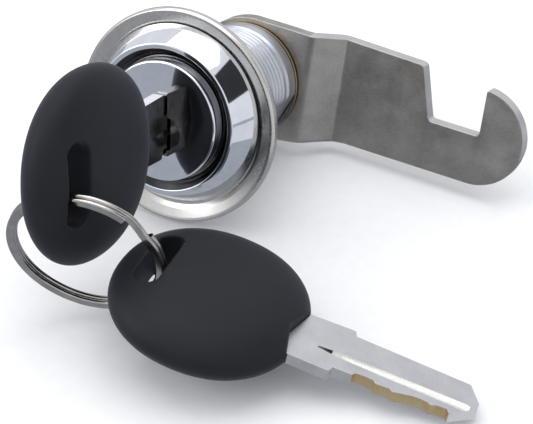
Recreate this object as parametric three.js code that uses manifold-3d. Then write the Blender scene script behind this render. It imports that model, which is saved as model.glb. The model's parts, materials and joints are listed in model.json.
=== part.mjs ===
// A cam lock with two keys on a split ring, in millimetres, +Z up.
// The lock lies on a flat surface on the lower edge of its trim ring and of its cam, so its axis is
// tilted. One key is in the lock, and the other lies in front of it, held by the ring.
import * as THREE from "three";
import { mergeVertices } from "three/addons/utils/BufferGeometryUtils.js";
import Module from "manifold-3d";

const wasm = await Module();
wasm.setup();

// Driving dimensions. In the lock's own frame y runs along the axis, from the face (minus) to the
// rear (plus), x points along the cam's arm, and y = 0 is the plane of the trim ring's front edge.
const DEGREE = Math.PI / 180;
const LOCK_TILT = 16.0 * DEGREE; // the face looks this far upwards
const GAP = 0.3; // between pieces that rest on each other

// Housing
const BARREL_R = 9.0; // M18 thread
const THREAD_PITCH = 1.0;
const THREAD_DEPTH = 0.5;
const THREAD_FROM = 3.3;
const THREAD_TURNS = 15;
const BARREL_END = 21.3;
const FLAT_DISTANCE = 8.0; // from the axis to each flat: 16 mm across flats
const FLAT_ANGLE = -23.5 * DEGREE; // of one flat's normal, from the cam's arm
const HEAD_R = 13.3;
const HEAD_FRONT = -3.75;
const HEAD_RIM_R = 10.57;
const BORE_R = 6.7;

// Trim ring
const TRIM_R = 16.0;
const TRIM_BACK = 2.5;
const TRIM_BORE_R = 9.8;
const TRIM_DROP = 0.5; // the loose ring hangs this far below the axis

// Plug
const PLUG_FACE = -4.5;
const PLUG_FACE_R = 8.88;
const PLUG_R = 6.5;
const PLUG_END = 21.3;
const TAIL_HALF = 3.3; // half the side of the square tail
const TAIL_END = 24.2;
const KEYWAY_HALF = 1.15;
const KEYWAY_END = 14.8;

// Tumblers
const WAFER_COUNT = 5;
const WAFER_PITCH = 2.7;
const FIRST_WAFER = -1.0;
const WAFER_THICKNESS = 1.0;
const WAFER_HALF = 2.4;
const SLOT_SPARE = 0.2;
const CHANNEL_DEPTH = 7.4; // of the housing's grooves for raised tumblers, from the axis
const RETAINER_PLACE = 17.3;

// Cam and what holds it
const STOP_WASHER_FROM = 21.6;
const STOP_WASHER_TO = 22.0;
const STOP_WASHER_R = 8.8;
const CAM_FRONT = 22.3;
const CAM_THICKNESS = 2.2;
const CAM_CRANK = 3.7; // how far the hook end stands behind the lock end
const CAM_ROUND_R = 9.4;
const CAM_ROUND_RISE = 0.15; // of the round end's centre above the axis
const CAM_BOTTOM = -7.1;
const HOOK_CENTRE = [36.55, 0.5];
const HOOK_R = 7.6;
const NOTCH_FLOOR = 0.75;
const WASHER_FROM = 24.8;
const WASHER_TO = 25.6;
const SCREW_HEAD_FROM = 25.9;
const SCREW_HEAD_TO = 28.7;

// Key: x along the blade from the bow's centre, y across it, z out of its face. y = 0 is the lock's axis.
const KEY_LEAN = 7 * DEGREE; // of the key in the lock, away from the cam
const KEY_BACK = 24.1; // from the origin to the centre of the bow, against the axis
const KEY_SAG = 0.6; // the key in the lock lies this low in its keyway
const BOW_LENGTH = 27.2;
const BOW_WIDTH = 27.5;
const BOW_THICKNESS = 9.6;
const BOW_DROP = 0.3;
const SLOT_PLACE = -8.3;
const SLOT_WIDTH = 3.9;
const SLOT_LENGTH = 11.8;
const BLADE_THICKNESS = 1.7;
const SHOULDER = 19.3; // where the shank meets the lock's face
const KEY_TIP = 38.5;

// The loose key, from the lock's origin, and its heading, dip and roll
const LOOSE_KEY_PLACE = [20.31, -25.18, -8.52];
const LOOSE_KEY_TURN = [6.2, 9.4, -3.2];

// Split ring
const RING_CENTRE = [3.7, -29.9, -3.35];
const RING_NORMAL = [0.233, -0.951, -0.202];
const RING_R = 10.5; // to the middle of the wire
const RING_WIRE_WIDTH = 1.3;
const RING_WIRE_THICKNESS = 1.6; // of both turns together

// ---- helpers ----

function solidOf(geometry) {
  const bare = geometry.clone();
  bare.deleteAttribute("normal");
  bare.deleteAttribute("uv");
  const merged = mergeVertices(bare, 1e-4);
  const mesh = new wasm.Mesh({
    numProp: 3,
    vertProperties: new Float32Array(merged.attributes.position.array),
    triVerts: new Uint32Array(merged.index.array),
  });
  return new wasm.Manifold(mesh);
}

function geometryOf(solid) {
  const mesh = solid.getMesh();
  const geometry = new THREE.BufferGeometry();
  geometry.setAttribute("position", new THREE.BufferAttribute(mesh.vertProperties, 3));
  geometry.setIndex(new THREE.BufferAttribute(mesh.triVerts, 1));
  geometry.computeVertexNormals();
  return geometry;
}

function box(x0, x1, y0, y1, z0, z1) {
  const geometry = new THREE.BoxGeometry(x1 - x0, y1 - y0, z1 - z0);
  geometry.translate((x0 + x1) / 2, (y0 + y1) / 2, (z0 + z1) / 2);
  return geometry;
}

function rod(radius, y0, y1, sides) {
  const geometry = new THREE.CylinderGeometry(radius, radius, y1 - y0, sides);
  geometry.translate(0, (y0 + y1) / 2, 0);
  return geometry;
}

// A turned piece about the y axis; its profile is [radius, y] and closes on itself.
function turned(profile, sides) {
  const points = profile.map(([r, y]) => new THREE.Vector2(r, y));
  if (THREE.ShapeUtils.area(points) < 0) points.reverse();
  points.push(points[0].clone());
  return new THREE.LatheGeometry(points, sides);
}

// An outline in x and z, extruded from y0 to y1.
function plate(shape, y0, y1, curveSegments = 16) {
  const geometry = new THREE.ExtrudeGeometry(shape, {
    depth: y1 - y0,
    bevelEnabled: false,
    curveSegments,
  });
  geometry.rotateX(Math.PI / 2);
  geometry.translate(0, y1, 0);
  return geometry;
}

// Places a piece of the plug: its own z is the key's "up", and its x the key's face normal.
function leaned(geometry) {
  return geometry.clone().rotateY(-KEY_LEAN);
}

function material(color, roughness, metalness) {
  return new THREE.MeshStandardMaterial({ color, roughness, metalness });
}

const materials = {
  zinc: material(0xa9adb3, 0.3, 1),
  chrome: material(0xd5dae0, 0.08, 1),
  nickel: material(0xb9b4aa, 0.3, 1),
  brass: material(0xc39a55, 0.35, 1),
  spring: material(0x8d8f92, 0.35, 1),
  steel: material(0xb5b5b3, 0.3, 1),
  blade: material(0xb4b5b8, 0.42, 1),
  ring: material(0xb8b5b0, 0.2, 1),
  bow: material(0x2e2f34, 0.55, 0),
};

function named(name, geometry, finish) {
  const mesh = new THREE.Mesh(geometry, finish);
  mesh.name = name;
  return mesh;
}

// ---- housing and trim ring ----

function housing() {
  const outside = [];
  const step = THREAD_PITCH / 2;
  for (let i = 0; i <= 2 * THREAD_TURNS; i += 1) {
    const radius = i % 2 === 0 ? BARREL_R - THREAD_DEPTH : BARREL_R;
    outside.push([radius, THREAD_FROM + i * step]);
  }
  const profile = [
    [BORE_R, -2.0],
    [9.15, -2.0],
    [9.6, -2.3],
    [HEAD_RIM_R - 0.15, -3.5],
    [HEAD_RIM_R, -3.65],
    [10.8, HEAD_FRONT],
    [11.1, HEAD_FRONT],
    [11.4, -3.55],
    [HEAD_R - 0.1, -0.05],
    [HEAD_R, 0.25],
    [HEAD_R - 0.1, 0.4],
    [BARREL_R - THREAD_DEPTH, 0.4],
    ...outside,
    [BARREL_R - 0.3, THREAD_FROM + THREAD_TURNS * THREAD_PITCH + 0.3],
    [BARREL_R - 0.1, BARREL_END - 0.3],
    [BARREL_R - 0.3, BARREL_END],
    [BORE_R, BARREL_END],
    [BORE_R, RETAINER_PLACE + 0.9],
    [7.4, RETAINER_PLACE + 0.9],
    [7.4, RETAINER_PLACE - 0.9],
    [BORE_R, RETAINER_PLACE - 0.9],
  ];
  let body = solidOf(turned(profile, 36));
  for (const side of [0, Math.PI]) {
    const flat = box(FLAT_DISTANCE, 12, 2.4, BARREL_END + 1, -12, 12);
    body = body.subtract(solidOf(flat.rotateY(-(FLAT_ANGLE + side))));
  }
  // Two channels let the tumblers rise with the plug at rest and a quarter turn round.
  const lastWafer = FIRST_WAFER + (WAFER_COUNT - 1) * WAFER_PITCH;
  for (const turn of [0, Math.PI / 2]) {
    const half = WAFER_HALF + SLOT_SPARE;
    const channel = box(-half, half, FIRST_WAFER - 1.01, lastWafer + 1, 5, CHANNEL_DEPTH);
    body = body.subtract(solidOf(channel.rotateY(-(KEY_LEAN + turn))));
  }
  // The stop washer's tab runs a quarter turn in this recess.
  const recess = new THREE.Shape();
  recess.absarc(0, 0, 7.8, 22 * DEGREE, 128 * DEGREE, false);
  recess.absarc(0, 0, 6.4, 128 * DEGREE, 22 * DEGREE, true);
  body = body.subtract(solidOf(plate(recess, 19.9, BARREL_END + 1)));
  return named("housing", geometryOf(body), materials.zinc);
}

function trimRing() {
  const profile = [
    [TRIM_BORE_R, 0.75],
    [13.4, 0.75],
    [14.1, 0.4],
    [15.3, 0.05],
    [15.65, 0],
    [TRIM_R, 0.3],
    [TRIM_R, 1.2],
    [15.5, 2.2],
    [14.8, TRIM_BACK],
    [TRIM_BORE_R, TRIM_BACK],
  ];
  const mesh = named("trim_ring", turned(profile, 48), materials.nickel);
  mesh.position.z = -TRIM_DROP;
  return mesh;
}

// ---- plug, tumblers and retainer ----

function waferPlace(i) {
  return FIRST_WAFER + i * WAFER_PITCH;
}

function plug() {
  const profile = [
    [PLUG_FACE_R - 0.25, PLUG_FACE],
    [PLUG_FACE_R, PLUG_FACE + 0.25],
    [PLUG_FACE_R, -2.3],
    [PLUG_R, -2.3],
    [PLUG_R, PLUG_END],
    [2.0, PLUG_END],
    [2.0, PLUG_FACE],
  ];
  const core = solidOf(rod(2.5, PLUG_FACE, PLUG_END, 24));
  let body = solidOf(turned(profile, 40)).add(core);
  const tail = box(-TAIL_HALF, TAIL_HALF, PLUG_END - 1, TAIL_END, -TAIL_HALF, TAIL_HALF);
  body = body.add(solidOf(leaned(tail)));
  body = body.subtract(solidOf(rod(1.9, 19.8, TAIL_END + 1, 16)));
  const half = WAFER_THICKNESS / 2 + SLOT_SPARE;
  const cuts = [box(-KEYWAY_HALF, KEYWAY_HALF, PLUG_FACE - 1, KEYWAY_END, -4.8, 4.0)];
  // A round finger recess opens the keyway on one side.
  const recess = rod(2.5, PLUG_FACE - 1, PLUG_FACE + 1.1, 24);
  cuts.push(recess.translate(0.8, 0, -1.7));
  for (let i = 0; i < WAFER_COUNT; i += 1) {
    const y = waferPlace(i);
    const width = WAFER_HALF + SLOT_SPARE;
    cuts.push(box(-width, width, y - half, y + half, -8, 8));
    cuts.push(box(1.5, 4.4, y - half, y + half, -3.6, 3.2));
  }
  cuts.push(box(-1.7, 1.7, RETAINER_PLACE - 0.8, RETAINER_PLACE + 0.8, -5.6, 8));
  for (const cut of cuts) {
    body = body.subtract(solidOf(leaned(cut)));
  }
  return named("plug", geometryOf(body), materials.chrome);
}

// A tumbler: a plate with round ends, a window for the key and a lug for its spring.
function wafer(i) {
  const y = waferPlace(i);
  const half = WAFER_THICKNESS / 2;
  const round = solidOf(rod(PLUG_R - 0.1, y - half, y + half, 48));
  let body = solidOf(box(-WAFER_HALF, WAFER_HALF, y - half, y + half, -8, 8)).intersect(round);
  body = body.add(solidOf(box(WAFER_HALF - 0.2, 4.1, y - half, y + half, 1.2, 2.1)));
  body = body.subtract(solidOf(box(-1.4, 1.4, y - 2, y + 2, -5.2, 4.2)));
  return named("wafer_" + (i + 1), leaned(geometryOf(body)), materials.brass);
}

// A coil spring upright at (x, y), from z0 to z1.
function coil(x, y, z0, z1, radius, wire, turns) {
  class Helix extends THREE.Curve {
    getPoint(t, target = new THREE.Vector3()) {
      const angle = t * turns * 2 * Math.PI;
      const z = z0 + wire + t * (z1 - z0 - 2 * wire);
      return target.set(x + radius * Math.cos(angle), y + radius * Math.sin(angle), z);
    }
  }
  const section = new THREE.Shape();
  section.moveTo(wire, 0);
  section.lineTo(0, wire);
  section.lineTo(-wire, 0);
  section.lineTo(0, -wire);
  return new THREE.ExtrudeGeometry(section, { steps: turns * 7, extrudePath: new Helix() });
}

function waferSpring(i) {
  const spring = coil(3.35, waferPlace(i), -3.4, 0.95, 0.4, 0.12, 5);
  return named("wafer_spring_" + (i + 1), leaned(spring), materials.spring);
}

function retainer() {
  const y = RETAINER_PLACE;
  const plateSolid = solidOf(box(-1.4, 1.4, y - 0.5, y + 0.5, -1.6, 8));
  const body = plateSolid.intersect(solidOf(rod(7.1, y - 1, y + 1, 48)));
  return named("retainer", leaned(geometryOf(body)), materials.brass);
}

function retainerSpring() {
  const spring = coil(0, RETAINER_PLACE, -5.4, -1.85, 0.42, 0.13, 4);
  return named("retainer_spring", leaned(spring), materials.spring);
}

// ---- cam, washers and screw ----

function roundedSquare(half, radius) {
  const hole = new THREE.Path();
  const inner = half - radius;
  const corners = [[inner, inner, 0], [-inner, inner, 90], [-inner, -inner, 180], [inner, -inner, 270]];
  for (const [x, z, start] of corners) {
    hole.absarc(x, z, radius, start * DEGREE, (start + 90) * DEGREE, false);
  }
  return hole;
}

function squareHole(y0, y1) {
  const hole = roundedSquare(TAIL_HALF + 0.3, 0.2);
  return solidOf(leaned(plate(new THREE.Shape(hole.getPoints(3)), y0, y1)));
}

function stopWasher() {
  const disc = solidOf(rod(STOP_WASHER_R, STOP_WASHER_FROM, STOP_WASHER_TO, 40));
  const tab = solidOf(box(6.9, 7.5, 20.2, STOP_WASHER_TO - 0.15, -0.6, 0.6).rotateY(-30 * DEGREE));
  const hole = squareHole(STOP_WASHER_FROM - 1, STOP_WASHER_TO + 1);
  return named("stop_washer", geometryOf(disc.add(tab).subtract(hole)), materials.brass);
}

function camOutline() {
  const shape = new THREE.Shape();
  const [hx, hz] = HOOK_CENTRE;
  shape.moveTo(16, CAM_BOTTOM);
  shape.lineTo(hx, hz - HOOK_R);
  shape.absarc(hx, hz, HOOK_R, -90 * DEGREE, 85 * DEGREE, false);
  shape.lineTo(37.1, hz + HOOK_R - 0.1);
  shape.lineTo(37.2, 1.1);
  shape.lineTo(36.8, NOTCH_FLOOR);
  shape.lineTo(29.3, NOTCH_FLOOR);
  shape.lineTo(28.9, 1.2);
  shape.lineTo(26.7, 8.5);
  shape.lineTo(26.2, 8.95);
  shape.lineTo(14, 9.35);
  shape.lineTo(0, CAM_ROUND_RISE + CAM_ROUND_R);
  shape.absarc(0, CAM_ROUND_RISE, CAM_ROUND_R, 95 * DEGREE, 276 * DEGREE, false);
  return shape;
}

// The cranked sheet in x and y: level, a ramp and level again, CAM_THICKNESS thick.
function crankProfile() {
  const front = [[-12, 0], [9.2, 0], [10.3, 0.25], [11.1, 0.75], [13.9, CAM_CRANK - 0.1]];
  front.push([14.3, CAM_CRANK], [50, CAM_CRANK]);
  const shape = new THREE.Shape();
  shape.moveTo(...front[0]);
  for (const [x, y] of front.slice(1)) {
    shape.lineTo(x, y);
  }
  const t = CAM_THICKNESS;
  const back = [[50, CAM_CRANK + t], [13.1, CAM_CRANK + t], [12.4, CAM_CRANK + t - 0.3]];
  back.push([9.6, t + 0.4], [8.7, t], [-12, t]);
  for (const [x, y] of back) {
    shape.lineTo(x, y);
  }
  return shape;
}

function cam() {
  const sheet = new THREE.ExtrudeGeometry(crankProfile(), { depth: 30, bevelEnabled: false });
  sheet.translate(0, CAM_FRONT, -15);
  let body = solidOf(sheet).intersect(solidOf(plate(camOutline(), CAM_FRONT - 5, CAM_FRONT + 12, 20)));
  body = body.subtract(squareHole(CAM_FRONT - 1, CAM_FRONT + 4));
  return named("cam", geometryOf(body), materials.nickel);
}

function lockWasher() {
  const profile = [[2.1, WASHER_FROM], [4.2, WASHER_FROM], [4.2, WASHER_TO], [2.1, WASHER_TO]];
  const split = box(-0.3, 0.3, WASHER_FROM - 1, WASHER_TO + 1, 1, 6);
  const body = solidOf(turned(profile, 32)).subtract(solidOf(split));
  return named("lock_washer", geometryOf(body), materials.steel);
}

function camScrew() {
  const head = solidOf(rod(4.0, SCREW_HEAD_FROM, SCREW_HEAD_TO, 6));
  const shank = solidOf(rod(1.6, 20.2, SCREW_HEAD_FROM + 0.5, 16));
  const slot = solidOf(box(-0.5, 0.5, SCREW_HEAD_TO - 0.9, SCREW_HEAD_TO + 1, -6, 6));
  return named("cam_screw", geometryOf(head.add(shank).subtract(slot)), materials.steel);
}

// ---- keys ----

// A blade with its shank and tang; its five cuts are on the lower edge.
function bladeGeometry() {
  const outline = [[8.3, -4.1], [13.0, -4.8], [18.7, -4.8], [19.1, -4.4], [19.15, -3.8], [21.85, -3.7]];
  outline.push([22.25, -3.2], [24.6, -3.1], [25.15, -3.5], [27.0, -3.4], [27.65, -3.7]);
  outline.push([29.9, -3.1], [32.2, -2.95], [32.7, -3.1], [34.8, -2.75], [35.4, -3.3]);
  outline.push([KEY_TIP, -1.1], [KEY_TIP - 0.15, 0.65], [KEY_TIP - 2.2, 3.6]);
  outline.push([SHOULDER + 0.3, 3.8], [SHOULDER, 4.0], [SHOULDER, 4.75], [8.3, 4.1]);
  const shape = new THREE.Shape();
  shape.moveTo(...outline[0]);
  for (const [x, y] of outline.slice(1)) {
    shape.lineTo(x, y);
  }
  const blank = new THREE.ExtrudeGeometry(shape, { depth: BLADE_THICKNESS, bevelEnabled: false });
  blank.translate(0, 0, -BLADE_THICKNESS / 2);
  const face = BLADE_THICKNESS / 2;
  const grooves = [box(18.0, KEY_TIP - 1.6, -1.7, -0.6, face - 0.5, face + 1)];
  grooves.push(box(18.0, KEY_TIP + 1, 0.6, 1.7, -face - 1, -face + 0.45));
  let body = solidOf(blank);
  for (const groove of grooves) {
    body = body.subtract(solidOf(groove));
  }
  return geometryOf(body);
}

function roundedPower(value, exponent) {
  return Math.sign(value) * Math.abs(value) ** exponent;
}

// A bow: a soft lens with the ring's slot, a pocket for the tang and an open front over the shank.
function bowGeometry() {
  const sphere = new THREE.SphereGeometry(1, 36, 18);
  sphere.rotateX(Math.PI / 2);
  const position = sphere.attributes.position;
  const outlinePower = 2 / 2.14;
  const profilePower = 2 / 2.7;
  for (let i = 0; i < position.count; i += 1) {
    const angle = Math.atan2(position.getY(i), position.getX(i));
    const rise = Math.asin(Math.max(-1, Math.min(1, position.getZ(i))));
    const reach = roundedPower(Math.cos(rise), profilePower);
    const x = (BOW_LENGTH / 2) * reach * roundedPower(Math.cos(angle), outlinePower);
    const y = (BOW_WIDTH / 2) * reach * roundedPower(Math.sin(angle), outlinePower);
    const z = (BOW_THICKNESS / 2) * roundedPower(Math.sin(rise), profilePower);
    position.setXYZ(i, x, y - BOW_DROP, z);
  }
  const slot = new THREE.Shape();
  const end = (SLOT_LENGTH - SLOT_WIDTH) / 2;
  slot.absarc(SLOT_PLACE, end - BOW_DROP, SLOT_WIDTH / 2, 0, Math.PI, false);
  slot.absarc(SLOT_PLACE, -end - BOW_DROP, SLOT_WIDTH / 2, Math.PI, 2 * Math.PI, false);
  const slotCut = new THREE.ExtrudeGeometry(slot, { depth: 20, bevelEnabled: false, curveSegments: 10 });
  slotCut.translate(0, 0, -10);
  const pocket = box(8, 20, -5.0, 5.0, -BLADE_THICKNESS / 2 - GAP, BLADE_THICKNESS / 2 + GAP);
  const front = new THREE.Shape();
  front.moveTo(17, 6);
  front.lineTo(12.9, 4.9);
  front.lineTo(11.4, -1.2);
  front.lineTo(12.6, -4.6);
  front.lineTo(17, -5.2);
  const frontCut = new THREE.ExtrudeGeometry(front, { depth: 10, bevelEnabled: false });
  frontCut.translate(0, 0, BLADE_THICKNESS / 2);
  let body = solidOf(sphere).subtract(solidOf(slotCut)).subtract(solidOf(pocket));
  body = body.subtract(solidOf(frontCut));
  return geometryOf(body);
}

function key(number) {
  const group = new THREE.Group();
  group.add(named("key_" + number + "_blade", bladeGeometry(), materials.blade));
  group.add(named("key_" + number + "_bow", bowGeometry(), materials.bow));
  return group;
}

function keyInLock() {
  const group = key(1);
  const along = new THREE.Vector3(0, 1, 0);
  const up = new THREE.Vector3(-Math.sin(KEY_LEAN), 0, Math.cos(KEY_LEAN));
  const out = new THREE.Vector3().crossVectors(along, up);
  group.setRotationFromMatrix(new THREE.Matrix4().makeBasis(along, up, out));
  group.position.set(0, -KEY_BACK, 0).addScaledVector(up, -KEY_SAG);
  return group;
}

function looseKey() {
  const group = key(2);
  const [heading, dip, roll] = LOOSE_KEY_TURN.map((angle) => angle * DEGREE);
  group.setRotationFromEuler(new THREE.Euler(roll, dip, heading, "ZYX"));
  group.position.set(...LOOSE_KEY_PLACE);
  return group;
}

// ---- split ring ----

function splitRing() {
  const half = RING_WIRE_WIDTH / 2;
  const rise = RING_WIRE_THICKNESS / 2;
  const groove = 0.18;
  const profile = [
    [RING_R - half, -rise + 0.3],
    [RING_R - half + groove, 0],
    [RING_R - half, rise - 0.3],
    [RING_R - half + 0.3, rise],
    [RING_R + half - 0.3, rise],
    [RING_R + half, rise - 0.3],
    [RING_R + half - groove, 0],
    [RING_R + half, -rise + 0.3],
    [RING_R + half - 0.3, -rise],
    [RING_R - half + 0.3, -rise],
  ];
  const mesh = named("split_ring", turned(profile, 48), materials.ring);
  const normal = new THREE.Vector3(...RING_NORMAL).normalize();
  mesh.quaternion.setFromUnitVectors(new THREE.Vector3(0, 1, 0), normal);
  mesh.position.set(...RING_CENTRE);
  return mesh;
}

// ---- assembly ----

function lock() {
  const group = new THREE.Group();
  group.add(housing(), trimRing(), plug());
  for (let i = 0; i < WAFER_COUNT; i += 1) {
    group.add(wafer(i), waferSpring(i));
  }
  group.add(retainer(), retainerSpring());
  group.add(stopWasher(), cam(), lockWasher(), camScrew());
  group.add(keyInLock());
  group.rotation.x = -LOCK_TILT;
  return group;
}

const camLock = new THREE.Group();
camLock.add(lock(), looseKey(), splitRing());

// The origin is the middle of the bounding box's base.
camLock.updateMatrixWorld(true);
const bounds = new THREE.Box3().setFromObject(camLock, true);
const middle = bounds.getCenter(new THREE.Vector3());
camLock.position.set(-middle.x, -middle.y, -bounds.min.z);

export default camLock;
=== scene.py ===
"""Looks of the cam lock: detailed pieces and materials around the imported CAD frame.

Shapes are made in millimetres in the part's own frames, then placed in metres.
Lock frame: y along the axis from face to rear, x along the cam's arm, z across both.
Key frame: x along the blade, y across it, z out of its face.
"""
import json
import math
import bmesh
import bpy
import numpy as np
from mathutils import Matrix, Vector


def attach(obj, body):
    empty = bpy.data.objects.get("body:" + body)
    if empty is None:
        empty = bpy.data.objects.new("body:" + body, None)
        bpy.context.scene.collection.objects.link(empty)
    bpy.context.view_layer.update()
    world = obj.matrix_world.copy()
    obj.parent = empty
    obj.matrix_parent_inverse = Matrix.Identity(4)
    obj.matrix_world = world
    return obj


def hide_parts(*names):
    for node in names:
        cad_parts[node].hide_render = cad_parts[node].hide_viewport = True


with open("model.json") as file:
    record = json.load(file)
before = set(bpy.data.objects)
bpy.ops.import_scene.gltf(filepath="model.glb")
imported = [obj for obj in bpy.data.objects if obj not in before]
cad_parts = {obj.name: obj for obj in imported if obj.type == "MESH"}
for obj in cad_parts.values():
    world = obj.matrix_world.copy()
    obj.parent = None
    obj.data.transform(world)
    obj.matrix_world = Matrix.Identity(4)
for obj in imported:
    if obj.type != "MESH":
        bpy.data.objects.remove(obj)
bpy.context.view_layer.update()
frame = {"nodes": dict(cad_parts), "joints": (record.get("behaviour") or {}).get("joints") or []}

# ---- driving dimensions in millimetres and degrees; places along the lock are y ----
MM = 0.001
STEP = 0.01  # between the two rows of a sharp step
POLE_R = 0.02  # where a turned solid's profile stops short of its axis
LOCK_TILT = 16.0
HEAD_R = 13.3
HEAD_FLOOR = -2.0
HEAD_CREST = -3.75
HEAD_REAR = 0.4
HOLLOW_R = 10.42  # inside this the head's recess is painted darker, as painted shade
HOLLOW_END = -1.4
CHROME_END = 1.7
BARREL_R = 9.0
NECK_R = 8.6
BARREL_REAR_R = 8.92
BARREL_SIDES = 300
THREAD_PITCH = 1.0
THREAD_DEPTH = 0.5
THREAD_FROM = 3.3
THREAD_TURNS = 15
THREAD_TO = THREAD_FROM + THREAD_TURNS * THREAD_PITCH
THREAD_ROWS = 12  # for each turn
THREAD_ROOT = 0.16  # share of the half pitch that the root takes
THREAD_FLANK = 0.66  # and that the flank takes; the crest has the rest
THREAD_RUN_OUT = 0.5
BARREL_END = 21.3
FLAT_FROM = 2.4
FLAT_DISTANCE = 8.0
FLAT_ANGLE = -23.5
BORE_R = 6.7
CHANNEL_R = 7.35
CHANNEL_HALF = 2.62
CHANNEL_END = 10.8
STOP_RECESS_R = 7.8
STOP_RECESS_FROM = 19.9
STOP_RECESS_ANGLES = (22, 128)
TRIM_R = 16.0
TRIM_BORE_R = 9.8
TRIM_BACK = 2.5
TRIM_DROP = 0.5
PLUG_FACE = -4.5
PLUG_FACE_R = 8.88
PLUG_FACE_END = -2.3
PLUG_R = 6.5
PLUG_END = 21.3
STOP_WASHER_R = 8.8
STOP_WASHER_FRONT = 21.6
STOP_WASHER_BACK = 22.0
STOP_TAB_ANGLE = -30
TAIL_HALF = 3.3
TAIL_PLAY = 0.25
TAIL_END = 24.2
KEYWAY_HALF = 1.15
KEYWAY_LOW = -4.8
KEYWAY_HIGH = 4.0
KEYWAY_CORNER = 0.5
KEYWAY_END = 14.8
KEYHOLE_R = 2.5
KEYHOLE_DEPTH = 1.1
KEYHOLE_PLACE = (0.8, -1.7)
WAFER_PLACES = [-1.0 + 2.7 * i for i in range(5)]
WAFER_SLOT = 0.7
WAFER_WIDTH = 2.6
RETAINER_PLACE = 17.3
RETAINER_SLOT = 0.8
RETAINER_ROOM = 0.9
RETAINER_ROOM_R = 7.4
SCREW_HOLE_R = 1.9
SCREW_HOLE_FROM = 19.8
SCREW_SHANK_R = 1.6
SCREW_SHANK_FROM = 20.2
LOCK_WASHER_FRONT = 24.8
LOCK_WASHER_BACK = 25.6
LOCK_WASHER_R = 4.2
LOCK_WASHER_BORE_R = 2.1
LOCK_WASHER_CORNER = 0.12
SCREW_HEAD_FRONT = 25.9
SCREW_HEAD_BACK = 28.7
SCREW_HEAD_R = 4.0  # to the hexagon's corners
CUT_THROUGH = 8  # how far from the axis a cutter reaches
CAM_FRONT = 22.3
CAM_THICKNESS = 2.2
CAM_CRANK = 3.7
CAM_ROUND_R = 9.4
CAM_ROUND_RISE = 0.15
CAM_BOTTOM = -7.1
HOOK_CENTRE = (36.55, 0.5)
HOOK_R = 7.6
NOTCH_FLOOR = 0.75
KEY_LEAN = 7.0
KEY_BACK = 24.1
KEY_SAG = 0.6
BOW_LENGTH = 27.2
BOW_WIDTH = 27.5
BOW_THICKNESS = 9.6
BOW_DROP = 0.3
BOW_FACE_POWER = 3.0  # higher is flatter
BOW_EDGE_POWER = 2.0  # 2 is a round edge
BOW_OUTLINE_POWER = 2.14  # 2 is an ellipse
BOW_AROUND = 144
BOW_OVER = 72
BOW_VOXEL = 0.2
SLOT_PLACE = -8.2
SLOT_WIDTH = (3.9, 3.55)  # of key 1 and key 2
SLOT_LENGTH = (11.8, 11.3)
SLOT_SHIFT = (-0.3, -0.4)
BLADE_THICKNESS = 1.7
BLADE_EDGE = 0.035
GROOVE_DEPTH = 0.5
GROOVE_MIDDLE = -1.17
BACK_GROOVE_DEPTH = 0.45
SHOULDER = 19.3
KEY_TIP = 38.5
LOOSE_KEY_PLACE = (20.31, -25.18, -8.52)
LOOSE_KEY_TURN = (6.2, 9.4, -3.2)
RING_CENTRE = (3.7, -29.9, -3.35)
RING_NORMAL = (0.233, -0.951, -0.202)
RING_R = 10.5
RING_WIRE_WIDTH = 1.3
RING_WIRE_THICKNESS = 1.6
RING_EDGE = 0.34
RING_START = 70  # where the wire's near end lies
RING_STEP = 24  # over which the wire changes level
RING_ROWS = 420

# ---- frames ----
turn_joint = next(j for j in frame["joints"] if j["name"] == "plug_turn")
origin = Vector(turn_joint["pos_m"])


def turned_by(degrees, axis):
    return Matrix.Rotation(math.radians(degrees), 4, axis)


def placed(point):
    return Matrix.Translation(Vector(point) * MM)


LOCK = Matrix.Translation(origin) @ turned_by(-LOCK_TILT, "X")
lean = math.radians(KEY_LEAN)
along = Vector((0, 1, 0))
up = Vector((-math.sin(lean), 0, math.cos(lean)))
key_axes = Matrix((along, up, along.cross(up))).transposed().to_4x4()
KEY_1 = LOCK @ placed(Vector((0, -KEY_BACK, 0)) - up * KEY_SAG) @ key_axes
heading, dip, roll = LOOSE_KEY_TURN
KEY_2 = Matrix.Translation(origin) @ placed(LOOSE_KEY_PLACE)
KEY_2 = KEY_2 @ turned_by(heading, "Z") @ turned_by(dip, "Y") @ turned_by(roll, "X")
ring_turn = Vector((0, 1, 0)).rotation_difference(Vector(RING_NORMAL).normalized())
RING = Matrix.Translation(origin) @ placed(RING_CENTRE) @ ring_turn.to_matrix().to_4x4()
LEANED = turned_by(-KEY_LEAN, "Y")

# ---- mesh helpers ----


def made(name, verts, faces):
    mesh = bpy.data.meshes.new(name)
    mesh.from_pydata([tuple(v) for v in verts], [], faces)
    mesh.validate()
    obj = bpy.data.objects.new(name, mesh)
    bpy.context.scene.collection.objects.link(obj)
    work = bmesh.new()
    work.from_mesh(mesh)
    bmesh.ops.recalc_face_normals(work, faces=work.faces)
    work.to_mesh(mesh)
    work.free()
    return obj


def across(a, b, t):
    """Places an outline across the lock, carried along its axis."""
    return (a, t, b)


def skin(name, points, caps=False):
    """A surface over a grid of points: a closed ring of rows, or one with capped ends."""
    points = np.asarray(points, float)
    rows, columns = points.shape[:2]
    i, j = np.meshgrid(np.arange(rows - 1 if caps else rows), np.arange(columns), indexing="ij")
    after_i, after_j = (i + 1) % rows, (j + 1) % columns
    quads = [i * columns + j, i * columns + after_j, after_i * columns + after_j]
    quads.append(after_i * columns + j)
    faces = np.stack(quads, -1).reshape(-1, 4).tolist()
    if caps:
        faces.append(list(range(columns)))
        faces.append(list(range((rows - 1) * columns, rows * columns)))
    return made(name, points.reshape(-1, 3), faces)


def prism(name, outline, low, high, place=lambda a, b, t: (a, b, t)):
    """An outline carried from low to high; place puts it in its frame."""
    rows = [[place(a, b, t) for a, b in outline] for t in (low, high)]
    return skin(name, rows, caps=True)


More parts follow.
